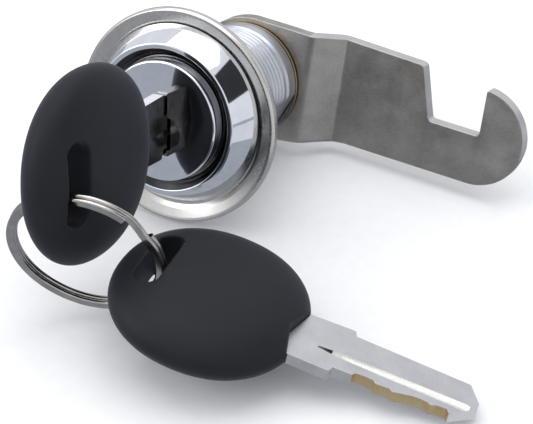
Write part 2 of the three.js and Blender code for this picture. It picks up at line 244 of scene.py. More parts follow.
def inset(outline, distance):
    """A closed outline moved inwards."""
    here = np.array(outline, float)
    ahead = np.roll(here, -1, 0) - here
    side = 1.0 if np.sum(here[:, 0] * ahead[:, 1] - here[:, 1] * ahead[:, 0]) > 0 else -1.0
    normal = np.stack([-ahead[:, 1], ahead[:, 0]], 1) * side
    normal /= np.maximum(np.linalg.norm(normal, axis=1), 1e-9)[:, None]
    before = np.roll(normal, 1, 0)
    share = np.maximum(1 + np.sum(normal * before, 1), 0.4)
    return here + (normal + before) / share[:, None] * distance


def rounded_prism(name, outline, low, high, radius, steps=3, place=lambda a, b, t: (a, b, t)):
    """A prism whose two rims are rounded, by one radius or by one for each corner."""
    radius = np.broadcast_to(np.asarray(radius, float), (len(outline),))
    rows = []
    for k in range(steps + 1):
        angle = math.pi / 2 * k / steps
        ring = inset(outline, (radius * (1 - math.sin(angle)))[:, None])
        rows.append(list(zip(ring, radius * (1 - math.cos(angle)))))
    near = [[place(a, b, low + rise) for (a, b), rise in row] for row in rows]
    far = [[place(a, b, high - rise) for (a, b), rise in row] for row in reversed(rows)]
    return skin(name, near + far, caps=True)


def box(x0, x1, y0, y1, z0, z1):
    corners = [(x0, y0), (x1, y0), (x1, y1), (x0, y1)]
    return prism("cutter", corners, z0, z1)


def rectangle(a0, a1, b0, b1, radius):
    """The corners of an upright rectangle, for filleted."""
    return [(a0, b0, radius), (a1, b0, radius), (a1, b1, radius), (a0, b1, radius)]


def filleted(corners, steps=6):
    """A closed outline through corners (a, b, radius), each one rounded."""
    out = []
    count = len(corners)
    for i, (a, b, radius) in enumerate(corners):
        here = np.array([a, b], float)
        before = np.array(corners[i - 1][:2], float) - here
        after = np.array(corners[(i + 1) % count][:2], float) - here
        length_in, length_out = np.linalg.norm(before), np.linalg.norm(after)
        before, after = before / length_in, after / length_out
        half = math.acos(max(-1.0, min(1.0, float(before @ after)))) / 2
        if radius <= 0 or half > 1.5:
            out.append(tuple(here))
            continue
        reach = min(radius / math.tan(half), 0.48 * length_in, 0.48 * length_out)
        depth = reach / math.cos(half)
        middle = here + (before + after) / np.linalg.norm(before + after) * depth
        start = here + before * reach - middle
        end = here + after * reach - middle
        first = math.atan2(start[1], start[0])
        sweep = math.atan2(end[1], end[0]) - first
        sweep = (sweep + math.pi) % (2 * math.pi) - math.pi
        size = np.linalg.norm(start)
        for k in range(steps + 1):
            angle = first + sweep * k / steps
            out.append((middle[0] + size * math.cos(angle), middle[1] + size * math.sin(angle)))
    return out


def arc(centre, radius, first, last, steps):
    """Points of an arc, as sharp outline corners, degrees."""
    out = []
    for k in range(steps + 1):
        angle = math.radians(first + (last - first) * k / steps)
        a = centre[0] + radius * math.cos(angle)
        out.append((a, centre[1] + radius * math.sin(angle), 0))
    return out


def around(sides):
    return [2 * math.pi * j / sides for j in range(sides)]


def lathe(name, profile, sides, caps=False):
    """A profile of (radius, y) turned about y: a closed ring, or a solid with capped ends."""
    turns = around(sides)
    rows = [[(r * math.cos(t), y, r * math.sin(t)) for t in turns] for r, y in profile]
    return skin(name, rows, caps)


def rod(radius, y0, y1, sides, x=0.0, z=0.0):
    outline = [(x + radius * math.cos(t), z + radius * math.sin(t)) for t in around(sides)]
    return prism("cutter", outline, y0, y1, across)


def moved(obj, matrix):
    obj.data.transform(matrix)
    return obj


def baked(obj):
    """Applies the modifiers."""
    graph = bpy.context.evaluated_depsgraph_get()
    mesh = bpy.data.meshes.new_from_object(obj.evaluated_get(graph))
    old = obj.data
    obj.modifiers.clear()
    obj.data = mesh
    bpy.data.meshes.remove(old)
    return obj


def combined(obj, others, operation="DIFFERENCE"):
    for other in others:
        modifier = obj.modifiers.new("cut", "BOOLEAN")
        modifier.operation = operation
        modifier.solver = "EXACT"
        modifier.object = other
    baked(obj)
    for other in others:
        mesh = other.data
        bpy.data.objects.remove(other)
        bpy.data.meshes.remove(mesh)


def bevelled(obj, width, segments=3, angle=32):
    modifier = obj.modifiers.new("bevel", "BEVEL")
    modifier.width = width
    modifier.segments = segments
    modifier.limit_method = "ANGLE"
    modifier.angle_limit = math.radians(angle)
    modifier.use_clamp_overlap = True
    modifier.miter_outer = "MITER_ARC"
    return baked(obj)


def shaded(obj, angle=40, weighted=True):
    obj.data.shade_smooth()
    obj.data.set_sharp_from_angle(angle=math.radians(angle))
    if weighted:
        modifier = obj.modifiers.new("normals", "WEIGHTED_NORMAL")
        modifier.keep_sharp = True
        modifier.weight = 60
        baked(obj)
    return obj


def finished(obj, name, matrix, body, nodes, finishes, choose=None):
    """Names a piece, puts it in place, and gives its faces their finishes."""
    obj.name = name
    obj.data.name = name
    obj.data.materials.clear()
    for finish in finishes:
        obj.data.materials.append(finish)
    for polygon in obj.data.polygons:
        polygon.material_index = choose(polygon.center, polygon.normal) if choose else 0
    places = np.zeros(len(obj.data.vertices) * 3, np.float32)
    obj.data.vertices.foreach_get("co", places)
    own = obj.data.attributes.new("own_place", "FLOAT_VECTOR", "POINT")
    own.data.foreach_set("vector", places)
    obj.data.transform(matrix @ Matrix.Scale(MM, 4))
    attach(obj, body)
    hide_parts(*nodes)


# ---- materials: textures are in the piece's own frame, in millimetres ----


class Finish:
    """A node material; sizes are in millimetres."""

    def __init__(self, name, metallic, specular=0.5, own_place=True):
        self.material = bpy.data.materials.new(name)
        self.material.use_nodes = True
        self.nodes = self.material.node_tree.nodes
        self.links = self.material.node_tree.links
        self.shader = self.nodes["Principled BSDF"]
        self.shader.inputs["Metallic"].default_value = metallic
        self.shader.inputs["Specular IOR Level"].default_value = specular
        self.height = None
        self.scale = 1.0
        if own_place:
            attribute = self.nodes.new("ShaderNodeAttribute")
            attribute.attribute_name = "own_place"
            self.place = attribute.outputs["Vector"]
        else:
            self.scale = 1.0 / MM
            self.place = self.nodes.new("ShaderNodeTexCoord").outputs["Object"]

    def space(self, stretch=(1, 1, 1)):
        mapping = self.nodes.new("ShaderNodeMapping")
        mapping.inputs["Scale"].default_value = [s * self.scale for s in stretch]
        self.links.new(self.place, mapping.inputs["Vector"])
        return mapping.outputs["Vector"]

    def noise(self, size, stretch=(1, 1, 1), detail=4.0, roughness=0.6):
        node = self.nodes.new("ShaderNodeTexNoise")
        node.inputs["Scale"].default_value = 1.0 / size
        node.inputs["Detail"].default_value = detail
        node.inputs["Roughness"].default_value = roughness
        self.links.new(self.space(stretch), node.inputs["Vector"])
        return node.outputs["Fac"]

    def speckle(self, size):
        node = self.nodes.new("ShaderNodeTexVoronoi")
        node.inputs["Scale"].default_value = 1.0 / size
        self.links.new(self.space(), node.inputs["Vector"])
        return node.outputs["Distance"]

    def spread(self, value, low, high, start=0.3, end=0.7):
        node = self.nodes.new("ShaderNodeMapRange")
        node.inputs["From Min"].default_value = start
        node.inputs["From Max"].default_value = end
        node.inputs["To Min"].default_value = low
        node.inputs["To Max"].default_value = high
        self.links.new(value, node.inputs["Value"])
        return node.outputs["Result"]

    def colours(self, value, stops):
        node = self.nodes.new("ShaderNodeValToRGB")
        ramp = node.color_ramp
        while len(ramp.elements) < len(stops):
            ramp.elements.new(0.5)
        for element, (place, colour) in zip(ramp.elements, stops):
            element.position = place
            element.color = (*colour, 1)
        self.links.new(value, node.inputs["Fac"])
        return node.outputs["Color"]

    def mixed(self, factor, one, two):
        """Mixes two values, as colours: sockets 6 and 7 in, 2 out."""
        node = self.nodes.new("ShaderNodeMix")
        node.data_type = "RGBA"
        node.inputs["Factor"].default_value = factor
        self.links.new(one, node.inputs[6])
        self.links.new(two, node.inputs[7])
        return node.outputs[2]

    def colour(self, value):
        self.links.new(value, self.shader.inputs["Base Color"])

    def roughness(self, value):
        self.links.new(value, self.shader.inputs["Roughness"])

    def bump(self, value, depth):
        node = self.nodes.new("ShaderNodeBump")
        node.inputs["Distance"].default_value = depth * MM
        node.inputs["Strength"].default_value = 1.0
        self.links.new(value, node.inputs["Height"])
        if self.height is not None:
            self.links.new(self.height, node.inputs["Normal"])
        self.height = node.outputs["Normal"]
        self.links.new(self.height, self.shader.inputs["Normal"])


def polished(name, dark, light, rough=(0.03, 0.09)):
    """Bright plating, with faint clouding, fine hairlines and a few pits."""
    finish = Finish(name, 1.0)
    cloud = finish.noise(3.0, detail=3.0)
    finish.colour(finish.colours(cloud, [(0.3, dark), (0.7, light)]))
    hairs = finish.noise(0.16, (1, 0.12, 1), detail=2.0)
    wear = finish.mixed(0.5, cloud, hairs)
    finish.roughness(finish.spread(wear, *rough))
    finish.bump(finish.noise(2.2, detail=1.0), 0.004)
    finish.bump(finish.noise(0.09, detail=2.0), 0.0006)
    return finish.material


def satin(name, dark, light, rough, stretch=(1, 1, 1), grain=0.25, depth=0.004, own=True):
    """Tumbled plating: speckled, softly clouded, finely lined along one way."""
    finish = Finish(name, 1.0, own_place=own)
    cloud = finish.noise(4.5, detail=3.0)
    fine = finish.noise(grain, stretch, detail=5.0, roughness=0.7)
    both = finish.mixed(0.45, cloud, fine)
    finish.colour(finish.colours(both, [(0.32, dark), (0.68, light)]))
    finish.roughness(finish.spread(both, *rough))
    finish.bump(fine, depth)
    finish.bump(finish.speckle(0.35), depth * 0.7)
    return finish.material


def plastic(name):
    """Moulded black plastic: a fine spark-eroded grain, dust and a faint handling sheen."""
    finish = Finish(name, 0.0, 0.24)
    cloud = finish.noise(6.0, detail=3.0)
    grain = finish.noise(0.16, detail=4.0, roughness=0.65)
    both = finish.mixed(0.35, cloud, grain)
    dark, light = (0.0085, 0.0088, 0.0115), (0.0135, 0.014, 0.0185)
    finish.colour(finish.colours(both, [(0.3, dark), (0.7, light)]))
    finish.roughness(finish.spread(both, 0.50, 0.66))
    finish.bump(grain, 0.012)
    finish.bump(finish.noise(2.5, detail=2.0), 0.02)
    finish.shader.inputs["Sheen Weight"].default_value = 0.12
    finish.shader.inputs["Sheen Roughness"].default_value = 0.4
    finish.shader.inputs["Sheen Tint"].default_value = (0.75, 0.8, 1.0, 1.0)
    return finish.material


chrome = polished("mirror_chrome", (0.78, 0.81, 0.85), (0.88, 0.90, 0.93))
plug_chrome = polished("plug_mirror", (0.80, 0.83, 0.88), (0.90, 0.92, 0.96), (0.02, 0.06))
# Painted shade: a darker copy of the metal for the head's hollow, the plug's keyway and slots, and
# the stop washer's faces.
painted_recess_shade = satin(
    "painted_recess_shade", (0.17, 0.165, 0.165), (0.32, 0.31, 0.31),
    (0.16, 0.3), grain=0.4,
)
barrel_zinc = satin(
    "barrel_zinc", (0.50, 0.52, 0.56), (0.66, 0.68, 0.72),
    (0.26, 0.42), (1, 0.35, 1),
)
flat_zinc = satin(
    "flat_zinc", (0.46, 0.47, 0.50), (0.60, 0.61, 0.63),
    (0.38, 0.52), (0.25, 1, 1), 0.2,
)
ring_nickel = satin(
    "trim_nickel", (0.60, 0.58, 0.55), (0.70, 0.68, 0.65),
    (0.22, 0.30), grain=0.3, depth=0.0015,
)
cam_nickel = satin(
    "cam_nickel", (0.32, 0.305, 0.28), (0.54, 0.515, 0.48),
    (0.30, 0.46), (0.3, 1, 1),
)
# A brighter copy of the cam's nickel: a painted highlight on the arm's cut edges that do not face
# down.
lit_cam_edge = satin(
    "cam_edge_painted_highlight", (0.62, 0.61, 0.59), (0.75, 0.74, 0.72),
    (0.28, 0.42), (0.4, 1, 0.4), 0.3,
)
steel = satin(
    "zinc_steel_plating", (0.58, 0.59, 0.58), (0.72, 0.72, 0.68),
    (0.25, 0.4), grain=0.3,
)
blade_nickel = satin(
    "blade_nickel", (0.50, 0.50, 0.515), (0.62, 0.62, 0.635),
    (0.36, 0.5), grain=0.35,
)
# A brighter copy of the blade's nickel for key 2's sides: a painted highlight, over a lengthwise
# grain.
edge_highlight_paint = satin(
    "blade_edge_painted_highlight", (0.66, 0.66, 0.65), (0.86, 0.86, 0.84),
    (0.3, 0.5), (0.3, 1, 1), 0.3, 0.02,
)
# A brighter copy of the blade's nickel: a painted highlight along the front groove.
groove_highlight_paint = satin(
    "groove_highlight_paint", (0.80, 0.80, 0.77), (0.93, 0.93, 0.90),
    (0.2, 0.36), (0.05, 1, 1), 0.3, 0.01,
)
brass = satin(
    "milled_brass", (0.70, 0.50, 0.24), (0.90, 0.73, 0.44),
    (0.24, 0.4), (2.0, 1, 0.3), 0.3, 0.02,
)
# Painted shade: a darker copy of the blade's nickel, for key 1's blade as a painted dark reflection
# and for the groove's start as a painted shadow.
painted_shade_nickel = satin(
    "painted_shade_nickel", (0.16, 0.155, 0.15), (0.30, 0.29, 0.28),
    (0.14, 0.3), grain=0.35,
)
wire = polished("ring_wire_nickel", (0.42, 0.405, 0.38), (0.60, 0.58, 0.55), (0.08, 0.2))
spring_wire = satin(
    "spring_wire", (0.40, 0.41, 0.42), (0.58, 0.59, 0.60),
    (0.25, 0.4), grain=0.2, own=False,
)
wafer_brass = satin(
    "wafer_brass", (0.60, 0.41, 0.17), (0.84, 0.66, 0.36),
    (0.24, 0.4), own=False,
)
black = plastic("moulded_black")

# ---- housing: head, helical thread, two flats, and its inner channels ----


def angle_apart(one, two):
    """The angle between two directions, in radians."""
    return abs((one - two + math.pi) % (2 * math.pi) - math.pi)


def housing():
    """Rows of points from the bore's front, over the head and barrel, and back inside."""
    front = [
        (BORE_R, HEAD_FLOOR, 0), (9.2, HEAD_FLOOR, 0.3), (9.75, -2.5, 0.3), (10.36, -3.5, 0.15),
        (10.5, HEAD_CREST, 0.12), (11.2, HEAD_CREST, 0.25), (13.2, -0.05, 0.2), (HEAD_R, 0.2, 0.08),
        (13.2, HEAD_REAR, 0.05), (NECK_R, HEAD_REAR, 0),
    ]
    neck_end = THREAD_FROM - 0.1
    rear = [
        (NECK_R, THREAD_TO + 0.35, 0.1), (BARREL_REAR_R, THREAD_TO + 0.7, 0.2),
        (BARREL_REAR_R, BARREL_END, 0.25), (BORE_R, BARREL_END, 0.1),
    ]
    outline = filleted(front + [(NECK_R, neck_end, 0)] + rear, 4)
    split = max(i for i, p in enumerate(outline) if abs(p[1] - neck_end) < 1e-6)
    rows = [(r, y, "plain") for r, y in outline[: split + 1]]
    for k in range(THREAD_TURNS * THREAD_ROWS + 1):
        rows.append((BARREL_R, THREAD_FROM + THREAD_PITCH * k / THREAD_ROWS, "thread"))
    rows += [(r, y, "plain") for r, y in outline[split + 1:]]
    inner = [STOP_RECESS_FROM, STOP_RECESS_FROM - STEP]
    for edge in (RETAINER_PLACE + RETAINER_ROOM, RETAINER_PLACE - RETAINER_ROOM + STEP):
        inner += [edge, edge - STEP]
    inner += [CHANNEL_END + STEP, CHANNEL_END]
    rows += [(BORE_R, y, "bore") for y in inner]
    sides = BARREL_SIDES
    channels = [math.radians(90 + KEY_LEAN), math.radians(180 + KEY_LEAN)]
    flats = [math.radians(FLAT_ANGLE), math.radians(FLAT_ANGLE + 180)]
    stop_from, stop_to = (math.radians(angle) for angle in STOP_RECESS_ANGLES)
    reach = 1.2  # radians, past which a flat or a channel faces away
    points = []
    for r, y, kind in rows:
        row = []
        for t in around(sides):
            size = r
            if kind == "thread":
                phase = (y - THREAD_FROM) / THREAD_PITCH - t / (2 * math.pi)
                wave = abs(2 * (phase % 1.0) - 1)
                wave = max(0.0, min(1.0, (wave - THREAD_ROOT) / THREAD_FLANK))
                from_end = min(y - THREAD_FROM, THREAD_TO - y)
                run_out = max(0.0, min(1.0, from_end / THREAD_RUN_OUT))
                size = BARREL_R - THREAD_DEPTH * (1 - wave * run_out)
            if y > FLAT_FROM and kind != "bore":
                for flat in flats:
                    apart = angle_apart(t, flat)
                    if apart < reach:
                        size = min(size, max(FLAT_DISTANCE / math.cos(apart), BORE_R))
            if r <= BORE_R + STEP:
                if y < CHANNEL_END + STEP / 2:
                    for channel in channels:
                        apart = angle_apart(t, channel)
                        if apart < reach and math.sin(apart) * CHANNEL_R < CHANNEL_HALF:
                            size = max(size, CHANNEL_R / math.cos(apart))
                if abs(y - RETAINER_PLACE) < RETAINER_ROOM - STEP / 2:
                    size = RETAINER_ROOM_R
                if y > STOP_RECESS_FROM - STEP / 2 and stop_from < t < stop_to:
                    size = STOP_RECESS_R
            row.append((size * math.cos(t), y, size * math.sin(t)))
        points.append(row)
    obj = shaded(skin("housing_body", points), 50, weighted=False)

    def choose(centre, normal):
        radius = math.hypot(centre.x, centre.z)
        # Inside the hollow the chrome is painted dark, as painted shade.
        if centre.y < HOLLOW_END and radius < HOLLOW_R:
            return finishes.index(painted_recess_shade)
        if centre.y < CHROME_END:
            return finishes.index(chrome)
        facing = math.atan2(normal.z, normal.x)
        on_flat = min(angle_apart(facing, flat) for flat in flats) < math.radians(0.6)
        if on_flat and abs(normal.y) < 0.02:
            return finishes.index(flat_zinc)
        return finishes.index(barrel_zinc)

    finishes = [chrome, barrel_zinc, flat_zinc, painted_recess_shade]
    finished(
        obj, "housing_body", LOCK, "housing", ["housing"], finishes, choose,
    )


def trim_ring():
    profile = [
        (TRIM_BORE_R, 0.75, 0.1), (13.4, 0.75, 0.2), (14.1, 0.4, 0.3), (15.3, 0.05, 0.6),
        (15.65, 0.0, 0.2), (TRIM_R, 0.3, 0.25), (TRIM_R, 1.2, 0.5), (15.5, 2.2, 0.5),
        (14.8, TRIM_BACK, 0.3), (TRIM_BORE_R, TRIM_BACK, 0.1),
    ]
    obj = shaded(lathe("trim", filleted(profile, 6), 192), 40, weighted=False)
    place = LOCK @ placed((0, 0, -TRIM_DROP))
    finished(
        obj, "trim_ring_body", place, "housing", ["trim_ring"], [ring_nickel],
    )


# ---- plug ----


def plug():
    profile = [
        (POLE_R, PLUG_FACE, 0), (PLUG_FACE_R, PLUG_FACE, 0.32), (PLUG_FACE_R, PLUG_FACE_END, 0.1),
        (PLUG_R, PLUG_FACE_END, 0), (PLUG_R, PLUG_END, 0.2), (POLE_R, PLUG_END, 0),
    ]
    obj = lathe("plug", filleted(profile, 5), 144, caps=True)
    tail = filleted(rectangle(-TAIL_HALF, TAIL_HALF, -TAIL_HALF, TAIL_HALF, 0.3), 4)
    tail = prism("cutter", tail, PLUG_END - 1, TAIL_END, across)
    combined(obj, [moved(tail, LEANED)], "UNION")
    keyway = rectangle(-KEYWAY_HALF, KEYWAY_HALF, KEYWAY_LOW, KEYWAY_HIGH, KEYWAY_CORNER)
    cutters = [prism("cutter", filleted(keyway, 4), PLUG_FACE - 1, KEYWAY_END, across)]
    mouth = PLUG_FACE - KEYHOLE_DEPTH, PLUG_FACE + KEYHOLE_DEPTH
    cutters.append(rod(KEYHOLE_R, *mouth, 64, *KEYHOLE_PLACE))
    for y in WAFER_PLACES:
        low, high = y - WAFER_SLOT, y + WAFER_SLOT
        cutters.append(box(-WAFER_WIDTH, WAFER_WIDTH, low, high, -CUT_THROUGH, CUT_THROUGH))
        # The pocket of the wafer's spring.
        cutters.append(box(1.5, 4.4, low, high, -3.6, 3.2))
    low, high = RETAINER_PLACE - RETAINER_SLOT, RETAINER_PLACE + RETAINER_SLOT
    cutters.append(box(-1.7, 1.7, low, high, -5.6, CUT_THROUGH))
    cutters.append(rod(SCREW_HOLE_R, SCREW_HOLE_FROM, TAIL_END + 1, 32))
    for cutter in cutters:
        moved(cutter, LEANED)
        combined(obj, [cutter])
    shaded(bevelled(obj, 0.07, 2, 40), 35)

    def choose(centre, normal):
        radius = math.hypot(centre.x, centre.z)
        # Behind the face, the keyway, slots and barrel are painted dark, as painted shade.
        inside = centre.y > PLUG_FACE + 0.6 and radius < PLUG_FACE_R - 0.3
        return finishes.index(painted_recess_shade if inside else plug_chrome)

    finishes = [plug_chrome, painted_recess_shade]
    finished(obj, "plug_body", LOCK, "plug", ["plug"], finishes, choose)


# ---- stop washer, cam, lock washer and screw ----


def square_cutter(y0, y1):
    """The square hole that sits on the plug's tail."""
    half = TAIL_HALF + TAIL_PLAY
    corners = rectangle(-half, half, -half, half, 0.2)
    return moved(prism("cutter", filleted(corners, 3), y0, y1, across), LEANED)


def stop_washer():
    obj = rod(STOP_WASHER_R, STOP_WASHER_FRONT, STOP_WASHER_BACK, 128)
    tab = box(6.9, 7.5, 20.2, 21.8, -0.6, 0.6)
    combined(obj, [moved(tab, turned_by(STOP_TAB_ANGLE, "Y"))], "UNION")
    combined(obj, [square_cutter(STOP_WASHER_FRONT - 1.6, STOP_WASHER_BACK + 2)])
    shaded(bevelled(obj, 0.08, 2))

    def choose(centre, normal):
        # The washer's two faces, between the housing and the cam, are painted dark, as painted
        # shade; its rim keeps the brass.
        on_face = abs(normal.y) > 0.8 and centre.y > STOP_WASHER_FRONT - 0.1
        return finishes.index(painted_recess_shade if on_face else brass)

    finishes = [brass, painted_recess_shade]
    finished(obj, "stop_washer_body", LOCK, "plug", ["stop_washer"], finishes, choose)


def cam_outline():
    hz = HOOK_CENTRE[1]
    corners = [(16, CAM_BOTTOM, 6.0)] + arc(HOOK_CENTRE, HOOK_R, -90, 83, 40)
    corners += [
        (37.1, hz + HOOK_R - 0.2, 0.45), (37.2, NOTCH_FLOOR, 0.6), (28.95, NOTCH_FLOOR, 0.7),
        (26.6, 8.95, 0.9), (14, 9.35, 0), (6, 9.5, 0),
    ]
    corners += arc((0, CAM_ROUND_RISE), CAM_ROUND_R, 93, 276, 56)
    return filleted(corners, 7)


def smooth_steps(x, corners):
    """A polyline through corners (x, y, radius) with rounded bends, as y at x."""
    # Two corners far below close the outline for filleted, and are dropped again.
    line = filleted(corners + [(60, -40, 0), (-20, -40, 0)], 8)
    line = [p for p in line if p[1] > -1]
    xs, ys = [p[0] for p in line], [p[1] for p in line]
    order = np.argsort(xs)
    return float(np.interp(x, np.array(xs)[order], np.array(ys)[order]))


def cam():
    outline = cam_outline()
    # The lower edges are worn round, and the upper ones stay sharp.
    rim = [0.12 + 0.45 * min(1.0, max(0.0, -b / 5 + 0.2)) for a, b in outline]
    obj = rounded_prism("cam", outline, 0, CAM_THICKNESS, rim, 4, across)
    combined(obj, [square_cutter(-1, 4)])
    # Edges across the plate let it bend; they are closest together at the crank.
    work = bmesh.new()
    work.from_mesh(obj.data)
    places = [7.6 + 0.3 * k for k in range(28)] + [17.5 + 3 * k for k in range(9)]
    for x in places:
        bmesh.ops.bisect_plane(
            work, geom=work.verts[:] + work.edges[:] + work.faces[:],
            plane_co=(x, 0, 0), plane_no=(1, 0, 0), dist=1e-5,
        )
    front = [(-20, 0, 0), (10.0, 0, 2.2), (14.0, CAM_CRANK, 0.35), (60, CAM_CRANK, 0)]
    back = [(-20, 0, 0), (8.9, 0, 0.5), (12.7, CAM_CRANK, 2.4), (60, CAM_CRANK, 0)]
    for vert in work.verts:
        near, far = smooth_steps(vert.co.x, front), smooth_steps(vert.co.x, back)
        share = vert.co.y / CAM_THICKNESS
        vert.co.y = CAM_FRONT + near + share * (CAM_THICKNESS + far - near)
    work.normal_update()
    work.to_mesh(obj.data)
    work.free()
    shaded(obj, 45)

    def choose(centre, normal):
        # The arm's cut edges that do not face down are painted brighter: a painted highlight.
        lit_edge_mask = abs(normal.y) < 0.35 and centre.x > 9 and normal.z > -0.2
        return finishes.index(lit_cam_edge if lit_edge_mask else cam_nickel)

    finishes = [cam_nickel, lit_cam_edge]
    finished(obj, "cam_plate", LOCK, "plug", ["cam"], finishes, choose)


def lock_washer():
    profile = rectangle(
        LOCK_WASHER_BORE_R, LOCK_WASHER_R, LOCK_WASHER_FRONT, LOCK_WASHER_BACK, LOCK_WASHER_CORNER,
    )
    obj = lathe("lock_washer", filleted(profile, 3), 96)
    slit = moved(box(-0.3, 0.3, 23, 27, 1, 6), turned_by(18, "X"))
    combined(obj, [moved(slit, Matrix.Translation((0, 1.0, 0)))])
    shaded(obj, 35)
    finished(obj, "lock_washer_body", LOCK, "plug", ["lock_washer"], [steel])


def cam_screw():
    hexagon = [(SCREW_HEAD_R * math.cos(t), SCREW_HEAD_R * math.sin(t)) for t in around(6)]
    obj = prism("screw", hexagon, SCREW_HEAD_FRONT, SCREW_HEAD_BACK, across)
    crown = [
        (POLE_R, 25.4, 0), (3.6, 25.4, 0), (4.4, 26.15, 0), (4.4, 27.95, 0),
        (3.3, SCREW_HEAD_BACK, 0.3), (POLE_R, SCREW_HEAD_BACK, 0),
    ]
    combined(obj, [lathe("cutter", filleted(crown, 4), 96, caps=True)], "INTERSECT")
    shank = rod(SCREW_SHANK_R, SCREW_SHANK_FROM, SCREW_HEAD_FRONT + 0.5, 48)
    combined(obj, [shank], "UNION")
    driver_slot = box(-0.5, 0.5, SCREW_HEAD_BACK - 0.9, 30, -6, 6)
    combined(obj, [driver_slot])
    shaded(bevelled(obj, 0.08, 2, 28), 40)
    finished(obj, "cam_screw_body", LOCK, "plug", ["cam_screw"], [steel])


# ---- keys ----


def blade_outline():
    """The shank's lower edge, the cuts, the tip, and the shoulder."""
    return filleted([
        (8.3, -4.1, 0), (13.0, -4.8, 0.4), (18.95, -4.8, 0.45), (19.1, -3.82, 0.12),
        (21.85, -3.72, 0.1), (22.15, -3.15, 0.15), (23.3, -3.0, 0.4), (24.6, -3.05, 0.15),
        (25.1, -3.56, 0.08), (27.0, -3.38, 0.3), (27.6, -3.78, 0.06), (28.3, -3.5, 0.2),
        (29.5, -3.2, 0.2), (29.9, -3.0, 0.1), (31.2, -2.85, 0.4), (32.2, -2.92, 0.1),
        (32.7, -3.25, 0.06), (33.4, -2.85, 0.2), (34.8, -2.7, 0.15), (35.35, -3.36, 0.05),
        (KEY_TIP - 0.05, -0.6, 0.35), (KEY_TIP - 0.15, 0.65, 0.5), (KEY_TIP - 2.2, 3.6, 0.3),
        (SHOULDER + 0.5, 3.78, 0.15), (SHOULDER + 0.1, 4.68, 0.1), (SHOULDER - 0.4, 4.75, 0.2),
        (8.3, 4.1, 0),
    ], 4)


def blade(number, matrix):
    face = BLADE_THICKNESS / 2
    obj = rounded_prism("blade", blade_outline(), -face, face, BLADE_EDGE, 2)
    deep = face - GROOVE_DEPTH
    section = [(face + 0.4, -1.86), (face + 0.4, -0.52), (deep, -0.72), (deep, -1.35)]

    def swept(u, lift, spread):
        """The groove's section at u, raised out of the blade and spread about its middle."""
        return [(u, GROOVE_MIDDLE + (v - GROOVE_MIDDLE) * spread, w + lift) for w, v in section]

    rows = [swept(15.2, 0.62, 0.55), swept(16.6, 0.40, 0.62), swept(18.0, 0.15, 0.85)]
    rows.append(swept(19.3, 0.0, 1.0))
    rows += [swept(20 + 2.4 * k, 0.0, 1.0 + 0.06 * k) for k in range(7)]
    rows += [swept(36.9, 0.0, 1.42), swept(37.6, 0.55, 1.2)]
    groove = skin("cutter", rows, caps=True)
    rows = []
    outside = -face - 0.5
    for u, lift in ((17.0, 0.5), (19.5, 0.0), (40.0, 0.0)):
        bottom = -face + BACK_GROOVE_DEPTH - lift
        rows.append([(u, 0.55, outside), (u, 0.75, bottom), (u, 1.5, bottom), (u, 1.75, outside)])
    back_groove = skin("cutter", rows, caps=True)
    combined(obj, [groove])
    combined(obj, [back_groove])
    shaded(obj, 38)

    # Key 1's blade is painted darker than key 2's: a painted dark reflection of its bow and the
    # plug, between which it shows.
    face_finish = painted_shade_nickel if number == 1 else blade_nickel
    # Key 2's sides take the painted highlight.
    side_finish = painted_shade_nickel if number == 1 else edge_highlight_paint
    finishes = [face_finish, brass, side_finish, groove_highlight_paint, black, painted_shade_nickel]
    FACE, CUTS, SIDE, GROOVE, BOW_STRIP, SHADED_GROOVE_START = range(6)

    def choose(centre, normal):
        u, v = centre.x, centre.y
        if u < 14.65 and normal.y < -0.6:
            return BOW_STRIP
        if 0 < centre.z < face - 0.02 and -2.4 < v < -0.2:
            # Where the groove begins, its faces are painted dark: a painted shadow.
            if 14.9 < u <= 18.4:
                return SHADED_GROOVE_START
            # Along the rest of the front groove the nickel is painted brighter: a painted
            # highlight.
            if 18.4 < u < 38.2 and abs(normal.x) < 0.8:
                return GROOVE
        if 21.83 < u < 35.42 and v < -2.4 and abs(normal.z) < 0.7:
            return CUTS
        return SIDE if abs(normal.z) < 0.6 else FACE

    finished(
        obj, f"key_{number}_metal", matrix, f"key_{number}", [f"key_{number}_blade"],
        finishes, choose,
    )


def power(value, exponent):
    """A power that keeps the value's sign."""
    return math.copysign(abs(value) ** exponent, value)


